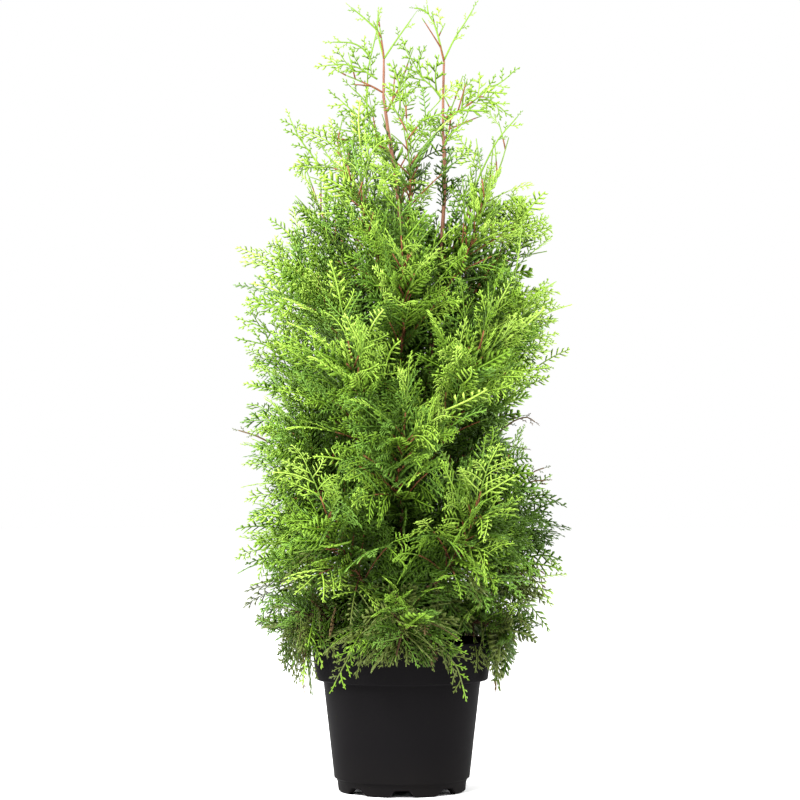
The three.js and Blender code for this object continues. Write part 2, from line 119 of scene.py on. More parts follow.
def apply_modifier(piece, kind, **settings):
    """Adds one modifier with its settings and applies it."""
    select_only(piece)
    modifier = piece.modifiers.new(kind.title(), kind)
    for name, value in settings.items():
        setattr(modifier, name, value)
    bpy.ops.object.modifier_apply(modifier=modifier.name)


def make_notch_cutter(turn):
    """A wedge that opens the foot ring: a cube whose foot is drawn wider along the ring."""
    bpy.ops.mesh.primitive_cube_add(size=1, location=[place * MM for place in NOTCH_PLACE])
    cutter = bpy.context.object
    cutter.scale = [side * MM for side in NOTCH_SIZE]
    bpy.ops.object.transform_apply()
    bpy.ops.object.mode_set(mode="EDIT")
    shape = bmesh.from_edit_mesh(cutter.data)
    for face in shape.faces:
        face.select_set(face.normal.z < -0.5)
    bmesh.update_edit_mesh(cutter.data)
    bpy.ops.transform.resize(value=(NOTCH_FLARE, 1, 1), center_override=(0, NOTCH_PLACE[1] * MM, 0))
    bpy.ops.object.mode_set(mode="OBJECT")
    cutter.rotation_euler.z = turn
    bpy.ops.object.transform_apply()
    return cutter


def make_drain_cutter(turn):
    """A round punch for one hole in the floor."""
    place = (DRAIN_RING * MM * math.cos(turn), DRAIN_RING * MM * math.sin(turn), FLOOR_HEIGHT * MM)
    bpy.ops.mesh.primitive_cylinder_add(
        vertices=24, radius=DRAIN_RADIUS * MM, depth=20 * MM, location=place,
    )
    bpy.ops.object.transform_apply()
    return bpy.context.object


pot = turned("nursery_pot", POT_OUTSIDE + POT_INSIDE, POT_SIDES)
cutters = [make_notch_cutter(math.tau * i / NOTCH_COUNT) for i in range(NOTCH_COUNT)]
cutters += [make_drain_cutter(math.tau * (i + 0.5) / DRAIN_COUNT) for i in range(DRAIN_COUNT)]
select_only(*cutters)
bpy.ops.object.join()
punch = bpy.context.object
apply_modifier(pot, "BOOLEAN", object=punch, operation="DIFFERENCE", solver="EXACT")
bpy.data.objects.remove(punch)
apply_modifier(
    pot, "BEVEL", width=0.8 * MM, segments=2, limit_method="ANGLE", angle_limit=math.radians(40),
)
bpy.ops.object.mode_set(mode="EDIT")
bpy.ops.mesh.select_all(action="SELECT")
bpy.ops.mesh.dissolve_degenerate(threshold=0.01 * MM)  # slivers that the bevel leaves
bpy.ops.object.mode_set(mode="OBJECT")
bpy.ops.object.shade_smooth_by_angle(angle=math.radians(32))


def linear(hex_colour):
    """An sRGB hex colour as linear red, green, blue and alpha."""
    channels = [int(hex_colour[i:i + 2], 16) / 255 for i in (1, 3, 5)]
    return [c / 12.92 if c <= 0.04045 else ((c + 0.055) / 1.055) ** 2.4 for c in channels] + [1]


def add_node(tree, kind, inputs=None, **settings):
    """Adds a node to a tree with its settings, and gives each input a value or a link."""
    node = tree.nodes.new(kind)
    for name, value in settings.items():
        setattr(node, name, value)
    for socket, value in (inputs or {}).items():
        if isinstance(value, bpy.types.NodeSocket):
            tree.links.new(value, node.inputs[socket])
        else:
            node.inputs[socket].default_value = value
    return node


def new_material(name, **sockets):
    """A material with plain values on its sockets, and its tree, its shader and its object coordinates."""
    material = bpy.data.materials.new(name)
    material.use_nodes = True
    shader = material.node_tree.nodes["Principled BSDF"]
    for socket, value in sockets.items():
        shader.inputs[socket.replace("_", " ")].default_value = value
    where = add_node(material.node_tree, "ShaderNodeTexCoord").outputs["Object"]
    return material, material.node_tree, shader, where


def by_height(tree, where, start, end, low=0.0, high=1.0):
    """A value that goes from low to high between two heights."""
    height = add_node(tree, "ShaderNodeSeparateXYZ", {"Vector": where}).outputs["Z"]
    inputs = {"Value": height, "From Min": start, "From Max": end, "To Min": low, "To Max": high}
    return add_node(tree, "ShaderNodeMapRange", inputs).outputs[0]


def mix_colours(tree, factor, first, second):
    """A colour that goes from the first to the second with a factor."""
    inputs = {"Factor": factor, "A": first, "B": second}
    return add_node(tree, "ShaderNodeMix", inputs, data_type="RGBA").outputs["Result"]


def add_relief(tree, shader, vector, scale, detail, strength, depth):
    """Raises a surface with noise, to a depth in millimetres, and returns the noise for its colours."""
    noise = add_node(tree, "ShaderNodeTexNoise", {"Vector": vector, "Scale": scale, "Detail": detail})
    inputs = {"Height": noise.outputs[0], "Strength": strength, "Distance": depth * MM}
    tree.links.new(add_node(tree, "ShaderNodeBump", inputs).outputs[0], shader.inputs["Normal"])
    return noise.outputs[0]


# Moulded polypropylene: near black all through, a satin skin with a fine grain, a little dulled by dust
# towards the foot and scuffed in patches.
moulded, tree, shader, where = new_material("moulded black polypropylene", IOR=1.2, Specular_IOR_Level=0.05)
patches = add_node(tree, "ShaderNodeTexNoise", {"Vector": where, "Scale": 26.0, "Detail": 5.0}).outputs[0]
near_foot = by_height(tree, where, 0.0, 0.07, 0.5, 0.0)
dust = add_node(tree, "ShaderNodeMath", {0: near_foot, 1: patches}, operation="MULTIPLY").outputs[0]
skin = mix_colours(tree, dust, linear("#100f10"), linear("#1a1816"))
tree.links.new(skin, shader.inputs["Base Color"])
satin = add_node(tree, "ShaderNodeMapRange", {"Value": patches, "To Min": 0.48, "To Max": 0.64}).outputs[0]
tree.links.new(satin, shader.inputs["Roughness"])
add_relief(tree, shader, where, 900.0, 2.0, strength=0.16, depth=0.4)
pot.data.materials.append(moulded)
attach(pot, "root")
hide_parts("pot")


# ---- Compost
# Moist peat and bark compost that fills the pot to a finger's width under its rim. It was heaped in by
# hand and has settled, so its top is uneven, with crumbs and bark chips lying on it.

COMPOST_TOP = 203
COMPOST_EDGE = 127  # inside this radius its top is uneven
CRUMB_COUNT = 620
CRUMB_RING = 124
CRUMB_SHAPE, CHIP_SHAPE = (1, 0.8, 0.7), (2.6, 1.1, 0.5)


def displace(piece, grain, octaves, strength, **settings):
    """Moves a piece's surface with noise of a grain in millimetres, by up to a strength in millimetres."""
    noise = bpy.data.textures.new(f"noise of {grain} mm", "CLOUDS")
    noise.noise_scale = grain * MM
    noise.noise_depth = octaves
    apply_modifier(piece, "DISPLACE", texture=noise, strength=strength * MM, **settings)


compost = turned(
    "compost_fill", [(97.4, 11.5), (101.2, 21.5), (118.3, 172.6), (128.4, 177.5), (131, COMPOST_TOP)], 96,
)
apply_modifier(compost, "REMESH", mode="VOXEL", voxel_size=3 * MM)
top_points = [
    v.index for v in compost.data.vertices
    if v.co.z > (COMPOST_TOP - 4) * MM and v.co.xy.length < COMPOST_EDGE * MM
]
OPEN_TOP = "open top"
compost.vertex_groups.new(name=OPEN_TOP).add(top_points, 1.0, "REPLACE")
for lump, lift in ((26, 6.5), (7, 3.2)):
    displace(
        compost, lump, 3, lift, texture_coords="LOCAL", direction="Z", mid_level=0.6, vertex_group=OPEN_TOP,
    )
bpy.ops.object.shade_smooth()


def mesh_piece(name, points, faces, materials, face_materials=0):
    """A piece from points in millimetres and triangles, each with its own of the materials."""
    mesh = bpy.data.meshes.new(name)
    mesh.from_pydata(points * MM, [], faces, shade_flat=False)
    for material in materials:
        mesh.materials.append(material)
    mesh.polygons.foreach_set("material_index", np.broadcast_to(face_materials, len(faces)).astype(np.int32))
    piece = bpy.data.objects.new(name, mesh)
    bpy.context.scene.collection.objects.link(piece)
    return piece


def joined(parts):
    """Parts of (points, faces) as one pair of arrays."""
    offsets = np.cumsum([0] + [len(points) for points, _ in parts[:-1]])
    return (
        np.concatenate([points for points, _ in parts]),
        np.concatenate([faces + offset for (_, faces), offset in zip(parts, offsets)]),
    )


bpy.ops.mesh.primitive_ico_sphere_add(subdivisions=1, radius=1)
pebble = bpy.context.object
crumb_points = np.array([v.co for v in pebble.data.vertices])
crumb_faces = np.array([p.vertices for p in pebble.data.polygons])
bpy.data.objects.remove(pebble)
dice = np.random.default_rng(7)
crumbs = []
for _ in range(CRUMB_COUNT):
    reach, turn = CRUMB_RING * math.sqrt(dice.random()), math.tau * dice.random()
    is_chip = dice.random() < 0.3
    size = dice.uniform(1.2, 2.6) * np.array(CHIP_SHAPE if is_chip else CRUMB_SHAPE)
    roll, tilt = math.tau * dice.random(), dice.normal(0, 0.3)
    turned_round = np.array([
        [math.cos(roll), -math.sin(roll), 0],
        [math.sin(roll), math.cos(roll), 0],
        [math.sin(tilt), 0, 1],
    ])
    shape = crumb_points * size * dice.uniform(0.75, 1.25, crumb_points.shape)
    place = np.array([reach * math.cos(turn), reach * math.sin(turn), COMPOST_TOP + 0.4])
    crumbs.append((shape @ turned_round.T + place, crumb_faces))

# Peat: dark brown, quite matt, lighter where the crumbs have dried.
peat, tree, shader, where = new_material("moist peat compost", Roughness=0.94, Specular_IOR_Level=0.2)
lumps = add_relief(tree, shader, where, 160.0, 6.0, strength=0.8, depth=1.5)
peat_colour = mix_colours(tree, lumps, linear("#20150d"), linear("#5a4230"))
tree.links.new(peat_colour, shader.inputs["Base Color"])
compost.data.materials.append(peat)
crumb_layer = mesh_piece("compost_crumbs", *joined(crumbs), [peat])
for soil in (compost, crumb_layer):
    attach(soil, "root")
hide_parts("compost")


# ---- Trunk, second leader and boughs
# The trunk runs up into the left leader, and the second leader leaves it low down on the right. Their thin
# reddish-brown bark has split lengthwise. Three whorls of boughs carry the lower part of the crown.

TRUNK_ROUTE = [
    (0, 0, 205.3), (2, 1, 380), (-1, -2, 600), (2, 0, 834), (-9, 0, 942), (-28, 0, 1066), (-28, 0, 1131),
]
LEADER_ROUTE = [
    (1, 0, 372), (12, -8, 430), (31, -16, 540), (45, -22, 679), (66, -24, 930), (63, -18, 1027),
    (65, -14, 1125),
]
TRUNK_RADII, LEADER_RADII, BOUGH_RADII = (10.5, 1.9), (5.6, 1.8), (4.8, 3.0)  # at the foot and the tip
ROOT_FLARE, FLARE_HEIGHT = 7, 18
BOUGHS_A_WHORL = 5
BOUGH_SWAY = 7  # degrees to either side
STEM_STRAIGHT = 6  # how far a mass's stem goes on as straight as its bough ends
GAP = 0.3  # between the bough and that stem


def lerp(start, end, t):
    return start + (end - start) * t


def unit(vector):
    return vector / np.linalg.norm(vector)


def direction(heading, climb):
    """The unit vector that heads `heading` degrees round from +X and climbs `climb` degrees."""
    heading, climb = math.radians(heading), math.radians(climb)
    level = math.cos(climb)
    return np.array([level * math.cos(heading), level * math.sin(heading), math.sin(climb)])


def limb_path(start, heading, arc, steps, sway=0):
    """A limb whose climb turns evenly from the arc's first angle to its second over its length."""
    rise, end_rise, length = arc
    path = [np.asarray(start, dtype=float)]
    for i in range(steps):
        t = (i + 0.5) / steps
        step = direction(heading + sway * math.sin(2 * math.pi * t), lerp(rise, end_rise, t))
        path.append(path[-1] + step * length / steps)
    return np.array(path)


def smooth_route(route, steps):
    """A centripetal Catmull-Rom curve through the route's points, cut into equal steps."""
    route = np.array(route, dtype=float)
    route = np.vstack([2 * route[0] - route[1], route, 2 * route[-1] - route[-2]])
    curve = []
    for p0, p1, p2, p3 in zip(route, route[1:], route[2:], route[3:]):
        d0, d1, d2 = (math.sqrt(np.linalg.norm(b - a)) for a, b in ((p0, p1), (p1, p2), (p2, p3)))
        leave = ((p1 - p0) / d0 - (p2 - p0) / (d0 + d1) + (p2 - p1) / d1) * d1
        arrive = ((p2 - p1) / d1 - (p3 - p1) / (d1 + d2) + (p3 - p2) / d2) * d1
        for t in np.linspace(0, 1, 40, endpoint=False):
            bend = -3 * p1 + 3 * p2 - 2 * leave - arrive
            curve.append(p1 + leave * t + bend * t * t + (2 * p1 - 2 * p2 + leave + arrive) * t ** 3)
    curve.append(route[-2])
    return even_steps(np.array(curve), steps)


def even_steps(path, steps):
    """A path cut into equal steps along its length."""
    run = np.concatenate([[0], np.cumsum(np.linalg.norm(np.diff(path, axis=0), axis=1))])
    marks = np.linspace(0, run[-1], steps + 1)
    return np.stack([np.interp(marks, run, path[:, k]) for k in range(3)], axis=1)


def point_at_height(path, height):
    """Where a path first rises past a height."""
    above = max(int(np.argmax(path[:, 2] > height)), 1)
    low, high = path[above - 1], path[above]
    return lerp(low, high, (height - low[2]) / (high[2] - low[2]))


def path_length(path):
    return np.linalg.norm(np.diff(path, axis=0), axis=1).sum()


def bark_limb(name, path, radius_at, ring_step, round_steps=4):
    """A limb as a closed mesh, from a poly curve with a radius at each ring."""
    rings = even_steps(path, max(int(path_length(path) / ring_step), 4))
    curve = bpy.data.curves.new(name, "CURVE")
    curve.dimensions = "3D"
    curve.bevel_depth = MM
    curve.bevel_resolution = round_steps
    curve.use_fill_caps = True
    spline = curve.splines.new("POLY")
    spline.points.add(len(rings) - 1)
    for i, (point, spot) in enumerate(zip(spline.points, rings)):
        point.co = (*(spot * MM), 1)
        point.radius = radius_at(i / (len(rings) - 1))
    piece = bpy.data.objects.new(name, curve)
    bpy.context.scene.collection.objects.link(piece)
    select_only(piece)
    bpy.ops.object.convert(target="MESH")
    piece = bpy.context.object
    apply_modifier(piece, "WELD", merge_threshold=0.02 * MM)  # the end caps are loose until then
    return piece


def split_bark(piece, depth):
    """Cuts lengthwise fissures and small plates into a limb, with noise that is stretched along Z."""
    bpy.ops.object.empty_add()
    stretch = bpy.context.object
    stretch.scale = (1, 1, 7)
    bpy.context.view_layer.update()
    for grain, share in ((2.6, 1.0), (9.0, 0.8)):
        displace(
            piece, grain, 2, depth * share, texture_coords="OBJECT", texture_coords_object=stretch,
            direction="NORMAL", mid_level=0.55,
        )
    bpy.data.objects.remove(stretch)
    bpy.ops.object.shade_smooth()


def trunk_radius(t):
    """The trunk's radius at a share of its length, with the flare of its foot."""
    flare = ROOT_FLARE * math.exp(-1.5 * t * (TRUNK_ROUTE[-1][2] - TRUNK_ROUTE[0][2]) / FLARE_HEIGHT)
    return lerp(*TRUNK_RADII, t ** 0.8) + flare


trunk_path = smooth_route(TRUNK_ROUTE, 16)
leader_path = smooth_route(LEADER_ROUTE, 14)
trunk = bark_limb("trunk_bark", trunk_path, trunk_radius, ring_step=3)
split_bark(trunk, depth=1.5)
leader = bark_limb("second_leader_bark", leader_path, lambda t: lerp(*LEADER_RADII, t), ring_step=3)
split_bark(leader, depth=0.9)

# Each whorl: the height its first bough leaves at, how much higher each next one does, the first heading,
# and the arcs (climb at the start, climb at the end, length) of its boughs and of the stems they end in.
BOUGH_TIERS = {
    "skirt": (232, 2, -18, (24, 8, 104), (2, -34, 84)),
    "low": (250, 8, 18, (22, 30, 106), (36, 68, 136)),
    "lower": (312, 11, -18, (40, 48, 116), (44, 68, 138)),
}
masses = []


def add_mass(tier, name, stem):
    """Notes a mass of foliage: its tier, its stem's path, and the turn and seed that it grows with."""
    masses.append({
        "tier": tier, "node": f"foliage_{name}", "stem": stem,
        "roll": 120 * len(masses), "seed": 101 + 17 * len(masses),
    })


boughs, bough_paths, bough_nodes = [], [], []
for tier, (base, climb, first, bough_arc, stem_arc) in BOUGH_TIERS.items():
    for k in range(BOUGHS_A_WHORL):
        heading = first + 360 * k / BOUGHS_A_WHORL
        sway = BOUGH_SWAY if k % 2 else -BOUGH_SWAY
        path = limb_path(point_at_height(trunk_path, base + climb * k), heading, bough_arc, 4, sway)
        boughs.append(bark_limb("bough", path, lambda t: lerp(*BOUGH_RADII, t), ring_step=4, round_steps=2))
        bough_paths.append(path)
        bough_nodes.append(f"bough_{tier}_{k + 1}")
        onward = unit(path[-1] - path[-2])
        start = path[-1] + onward * GAP
        stem = limb_path(start + onward * STEM_STRAIGHT, heading, stem_arc, 5)
        add_mass(tier, f"{tier}_{k + 1}", np.vstack([start, stem]))
select_only(*boughs)
bpy.ops.object.join()
bough_bark = bpy.context.object
bough_bark.name = "bough_bark"
split_bark(bough_bark, depth=0.8)

# Thuja bark: thin, fibrous and matt, grey-brown at the foot and a clearer reddish brown on young wood.
bark, tree, shader, where = new_material("thuja bark", Roughness=0.85, Specular_IOR_Level=0.25)
along_limb = add_node(tree, "ShaderNodeMapping", {"Vector": where, "Scale": (1.0, 1.0, 0.14)}).outputs[0]
fibres = add_relief(tree, shader, along_limb, 480.0, 4.0, strength=0.6, depth=0.5)
old = mix_colours(tree, fibres, linear("#3a281c"), linear("#8a6a50"))
young = mix_colours(tree, fibres, linear("#643a2c"), linear("#946a54"))
bark_colour = mix_colours(tree, by_height(tree, where, 0.25, 0.95), old, young)
tree.links.new(bark_colour, shader.inputs["Base Color"])
for limb, nodes in ((trunk, ["trunk"]), (leader, ["right_leader"]), (bough_bark, bough_nodes)):
    limb.data.materials.append(bark)
    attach(limb, "root")
    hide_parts(*nodes)


# ---- Stems and twigs
# Every mass of foliage hangs on one curved stem, from a bough, the trunk or a leader. Twigs leave it at the
# golden angle and branch again to left and right. Their bark is brown on the wood and green further out.

UP = np.array([0.0, 0.0, 1.0])
STEM_SWAY = 6  # degrees to either side
LEADER_SECTOR = 62  # stems that head within this angle of +X leave the second leader
# Each tier on the trunk and the leader: the count of its stems, the height the first leaves at, how much
# higher each next one does, the first heading, and the stems' arc.
TRUNK_TIERS = {
    "middle": (5, 428, 14, 18, (40, 60, 252)),
    "upper": (5, 560, 14, -18, (40, 62, 256)),
    "high": (5, 686, 14, 18, (42, 68, 248)),
    "shoulder": (4, 812, 6, 4, (46, 76, 226)),
}
for tier, (count, base, climb, first, stem_arc) in TRUNK_TIERS.items():
    for k in range(count):
        heading = first + 360 * k / count
        from_right = abs((heading + 540) % 360 - 180)
        parent = leader_path if from_right < LEADER_SECTOR else trunk_path
        start = point_at_height(parent, base + climb * k)
        add_mass(tier, f"{tier}_{k + 1}", limb_path(start, heading, stem_arc, 5, STEM_SWAY))

# The single stems at the top: what each grows on, at what height, its heading and its arc.
TOP_STEMS = {
    "left_upper": (trunk_path, 1078, 176, (30, 22, 66)),
    "left_comb": (trunk_path, 984, 188, (36, -4, 74)),
    "middle_top": (trunk_path, 1046, -28, (52, 74, 70)),
    "right_upper": (leader_path, 1036, 6, (24, 46, 92)),
    "right_back": (leader_path, 1002, 62, (50, 70, 80)),
    "left_tip": (trunk_path, 1131, 196, (84, 80, 50)),
    "right_tip": (leader_path, 1125, 170, (78, 72, 60)),
}
for name, (parent, height, heading, stem_arc) in TOP_STEMS.items():
    add_mass("top", name, limb_path(point_at_height(parent, height - 0.01), heading, stem_arc, 5))

# The crown's outer radius at each height.
CROWN_HEIGHTS, CROWN_RADII = zip(
    (130, 158), (200, 178), (250, 232), (400, 256), (560, 264), (740, 266),
    (860, 248), (920, 214), (1040, 186), (1120, 138), (1170, 96), (1214, 62),
)
# Where the crown draws in: the heading and the height of each hollow, its half-height and its depth.
CROWN_HOLLOWS = [
    (0, 545, 66, 0.35), (0, 806, 24, 0.24), (0, 966, 30, 0.28),
    (180, 600, 34, 0.12), (180, 912, 34, 0.33), (180, 1066, 44, 0.42), (0, 1140, 16, 0.3),
    (262, 690, 40, 0.14), (80, 470, 50, 0.14), (110, 760, 46, 0.16),
]
# The waves that make the crown's edge ragged: the depth of each, its count round the crown, its pitch upward.
CROWN_WAVES = [(0.025, 5, 41), (0.02, 9, -23)]
WIDEST = 264
POT_CLEAR = 3
LOWEST = 141  # how far down the skirt hangs
FRONT_LIFT, FRONT_WIDTH = 60, 84  # how much less far in front, and for how far to either side
FRONT_ROOM, SKIRT_TOP = 16, 330  # how much further the skirt stands out in front, and up to where
# How far each may reach into the next mass's space: twigs, twigs of the skirt, the sprays on twigs, those on
# stems and those on old wood.
TWIG_EASE, SKIRT_EASE, SPRAY_EASE, SHADE_EASE, LIMB_EASE = 42, 60, 58, 80, 250
longest = max(len(mass["stem"]) for mass in masses)
stem_points = np.array([
    np.vstack([mass["stem"], np.repeat(mass["stem"][-1:], longest - len(mass["stem"]), axis=0)])
    for mass in masses
])


def distances_to_stems(points):
    """The distance from each point to each mass's stem."""
    start = stem_points[None, :, :-1]
    span = stem_points[None, :, 1:] - start
    reach = points[:, None, None] - start
    t = np.clip((reach * span).sum(-1) / np.maximum((span * span).sum(-1), 1e-9), 0, 1)
    return np.linalg.norm(reach - span * t[..., None], axis=-1).min(-1)


def in_own_space(index, points, ease, share=1.0):
    """Whether points are in a share of the crown, clear of the pot, and nearest to their own stem."""
    radius = np.hypot(points[:, 0], points[:, 1])
    turn = np.arctan2(points[:, 1], points[:, 0])
    ragged = 1.01
    for wave, lobes, pitch in CROWN_WAVES:
        ragged = ragged + wave * np.sin(lobes * turn + points[:, 2] / pitch)
    for heading, height, half_height, depth in CROWN_HOLLOWS:
        towards = np.clip(np.cos(turn - math.radians(heading)), 0, 1) ** 2
        ragged -= depth * towards * np.exp(-(((points[:, 2] - height) / half_height) ** 2))
    in_front = np.exp(-((points[:, 0] / FRONT_WIDTH) ** 4)) * (points[:, 1] < 0)
    crown = np.interp(points[:, 2], CROWN_HEIGHTS, CROWN_RADII, left=0, right=0) * ragged * share
    crown = np.minimum(crown + FRONT_ROOM * in_front * (points[:, 2] < SKIRT_TOP), WIDEST)
    at_pot = (points[:, 2] < POT_HEIGHT + POT_CLEAR) & (radius < RIM_RADIUS + POT_CLEAR)
    at_pot |= points[:, 2] < LOWEST + FRONT_LIFT * in_front
    if at_pot.any() or (radius > crown).any():
        return False
    distance = distances_to_stems(points)
    own = distance[:, index] - ease
    distance[:, index] = np.inf
    return (distance.min(axis=1) > own).all()


def path_frames(path):
    """The tangent, and two directions across that don't twist, at each point of a path."""
    across = np.array([0.0, 1.0, 0.0])
    frames = []
    for i in range(len(path)):
        tangent = unit(path[min(i + 1, len(path) - 1)] - path[max(i - 1, 0)])
        across = unit(across - tangent * (across @ tangent))
        frames.append((tangent, across, np.cross(tangent, across)))
    return frames


def tube(path, radii, sides, flatten=1.0):
    """A closed round or flattened tube of triangles along a path."""
    points = []
    for point, radius, (_, across, over) in zip(path, radii, path_frames(path)):
        for j in range(sides):
            turn = math.tau * j / sides
            points.append(point + across * radius * math.cos(turn) + over * radius * flatten * math.sin(turn))
    faces = []
    for i in range(len(path) - 1):
        for j in range(sides):
            a, b = i * sides + j, i * sides + (j + 1) % sides
            faces += [(a, b, b + sides), (a, b + sides, a + sides)]
    last = (len(path) - 1) * sides
    for j in range(1, sides - 1):
        faces += [(0, j + 1, j), (last, last + j, last + j + 1)]
    return np.array(points), np.array(faces)


def spot_on(path, place):
    """The step of a path on which a share of its length ends, and the point there."""
    run = place * (len(path) - 1)
    step = min(int(run), len(path) - 2)
    return step, lerp(path[step], path[step + 1], run - step)


def rotated(vector, axis, degrees):
    """A vector turned round a unit axis."""
    turn = math.radians(degrees)
    along = axis * (axis @ vector)
    return along + (vector - along) * math.cos(turn) + np.cross(axis, vector) * math.sin(turn)


GOLDEN_ANGLE = 137.5
END_SPREAD, END_OUTWARD = 6, 0.1  # of the twig that goes on from a stem's end
PLACE_JITTER, ROLL_JITTER, SPREAD_JITTER, FACE_JITTER = 0.4, 60, 20, 150
TWIG_TRIES = [1.15, 1.08, 1, 0.95, 0.9, 0.85, 0.8, 0.75, 0.7, 0.65, 0.6, 0.55]
MOST_SHARE, LEAST_SHARE = 1.12, 0.87  # of the crown's radius, where the longest and shortest fronds end
SKIRT_SHARE = 0.93  # of those, for the skirt
FOOT_SIZE, TIP_SIZE = 1.12, 0.7  # of the twigs at a stem's foot and at its tip
STEM_RADII, TOP_STEM_RADII, TWIG_RADII = (2.4, 0.9), (1.8, 1.0), (1.3, 0.8)  # at the foot and the tip
STEM_STEPS, TWIG_STEPS = 12, 6
BROWN_STEPS = 7  # of a stem
TWIG_SHARE = 0.64  # of a frond's length
VIGOUR_SPREAD = 0.17
# How each tier grows: the count of twigs on a stem, the place of the first, their spread from the stem, their
# lean outward and upward, the length of their bare stalk, the length and width of the frond beyond it, and
# how far its sprays droop and lift.
DENSE = dict(
    twigs=21, first=0.06, spread=62, outward=0.42, upward=0.75, stalk=32, length=136, width=104,
    droop=0.1, lift=0.3,
)
STYLES = {
    "skirt": dict(
        DENSE, twigs=28, first=0.02, spread=78, outward=0.2, upward=-0.35, stalk=8, length=104, width=90,
        droop=0.2, lift=-0.15,
    ),
    "low": dict(DENSE, twigs=22, upward=0.2, droop=0.18, lift=0.06),
    "lower": dict(DENSE, upward=0.6, droop=0.14, lift=0.22),
    "middle": dict(DENSE, first=0.3, outward=0.55, upward=0.9, lift=0.4),
    "upper": dict(DENSE, first=0.3, outward=0.6, upward=0.95, lift=0.45),
    "high": dict(DENSE, twigs=16, first=0.26, outward=0.65, upward=0.85, width=96, lift=0.4),
    "shoulder": dict(DENSE, twigs=12, first=0.24, upward=0.6, stalk=22, length=104, width=84),
    "top": dict(
        DENSE, twigs=2, first=0.28, spread=48, outward=0.1, upward=0.25, stalk=12, length=60, width=40,
        droop=0.04,
    ),
}


def twig_pose(style, point, frame, roll, is_end, dice):
    """Which way a twig grows and faces: round the stem, leaned outward and up, its face out of the crown."""
    tangent, across, over = frame
    aside = across * math.cos(math.radians(roll)) + over * math.sin(math.radians(roll))
    spread = math.radians(END_SPREAD if is_end else style["spread"] + SPREAD_JITTER * (dice.random() - 0.5))
    outward = unit(point * (1, 1, 0) + (1e-6, 0, 0))
    along = tangent * math.cos(spread) + aside * math.sin(spread)
    along = unit(along + outward * (END_OUTWARD if is_end else style["outward"]) + UP * style["upward"])
    facing = outward + UP * 0.4
    facing = unit(facing - along * (facing @ along))
    return along, rotated(facing, along, FACE_JITTER * (dice.random() - 0.5))


def swaying(stem, dice):
    """A stem that wanders a little to either side on its way."""
    marks = np.linspace(0, 1, len(stem))[:, None]
    aside = unit(np.cross(stem[-1] - stem[0], UP))
    wave = np.sin(math.tau * marks * dice.uniform(0.6, 1.2)) + dice.uniform(-1, 1) * marks
    return stem + aside * wave * dice.uniform(-0.06, 0.06) * path_length(stem)


def frond_outline(base, along, facing, style, size):
    """The points that tell how far a twig's frond reaches."""
    across = np.cross(along, facing)
    reach = (style["stalk"] + style["length"]) * size
    half = 0.5 * style["width"] * size
    middle = base + along * reach * 0.62
    return np.array([
        base + along * reach * 0.45, middle + across * half, middle - across * half, base + along * reach,
    ])


twigs = []  # the mass, path, facing, vigour and share of the crown of each twig, for its sprays
stem_wood, green_wood = [], []
for index, mass in enumerate(masses):
    style = STYLES[mass["tier"]]
    is_skirt = mass["tier"] == "skirt"
    dice = np.random.default_rng(mass["seed"])
    stem = swaying(smooth_route(mass["stem"], STEM_STEPS), dice)
    mass["grown"] = stem
    frames = path_frames(stem)
    foot, tip = TOP_STEM_RADII if mass["tier"] == "top" else STEM_RADII
    girth = np.linspace(foot, tip, STEM_STEPS + 1) * dice.uniform(0.92, 1.08, STEM_STEPS + 1)
    stem_wood.append(tube(stem[:BROWN_STEPS + 1], girth[:BROWN_STEPS + 1], 6))
    green_wood.append(tube(stem[BROWN_STEPS:], girth[BROWN_STEPS:], 5))
    for k in range(style["twigs"] + 1):
        is_end = k == style["twigs"]
        place = 1
        if not is_end:
            place = lerp(style["first"], 0.96, (k + PLACE_JITTER * dice.random()) / style["twigs"])
        step, base = spot_on(stem, place)
        share = lerp(MOST_SHARE, LEAST_SHARE, math.sqrt(dice.random()))
        if is_skirt:
            share *= SKIRT_SHARE
        for tried in TWIG_TRIES:
            size = tried * lerp(FOOT_SIZE, TIP_SIZE, place)
            roll = mass["roll"] + k * GOLDEN_ANGLE + ROLL_JITTER * (dice.random() - 0.5)
            along, facing = twig_pose(style, base, frames[step], roll, is_end, dice)
            outline = frond_outline(base, along, facing, style, size)
            if in_own_space(index, outline, SKIRT_EASE if is_skirt else TWIG_EASE, share):
                break
        else:
            continue
        axis_length = (style["stalk"] + TWIG_SHARE * style["length"]) * size
        marks = np.linspace(0, 1, TWIG_STEPS + 1)[:, None]
        sag = style["droop"] * axis_length * marks ** 2
        path = base + along * axis_length * marks - UP * sag
        girth = np.linspace(*TWIG_RADII, TWIG_STEPS + 1)
        brown = 5 if is_skirt or place < 0.4 else 2  # steps
        stem_wood.append(tube(path[:brown + 1], girth[:brown + 1], 5))
        green_wood.append(tube(path[brown:], girth[brown:], 5))
        twigs.append((index, path, facing, dice.normal(0, VIGOUR_SPREAD), share))

# Young wood: last year's growth, whose thin bark has just turned a matt reddish brown. Low in the crown it is
# painted darker, as shade.
young_bark, tree, shader, where = new_material("reddish young bark", Roughness=0.8, Specular_IOR_Level=0.2)
streaks = add_node(tree, "ShaderNodeTexNoise", {"Vector": where, "Scale": 240.0, "Detail": 3.0}).outputs[0]
young = mix_colours(tree, streaks, linear("#4a2617"), linear("#96613f"))
# Painted shade: below 0.42 m the young bark is mixed towards a dark brown, fully so below 0.28 m.
young_colour_shaded_low = mix_colours(tree, by_height(tree, where, 0.42, 0.28), young, linear("#45301f"))
tree.links.new(young_colour_shaded_low, shader.inputs["Base Color"])

# Green wood: this year's growth, smooth and slightly waxy.
green_bark, tree, shader, where = new_material(
    "green twig bark", Base_Color=linear("#6a882f"), Roughness=0.6, Specular_IOR_Level=0.25,
)
add_relief(tree, shader, where, 700.0, 2.0, strength=0.5, depth=0.4)

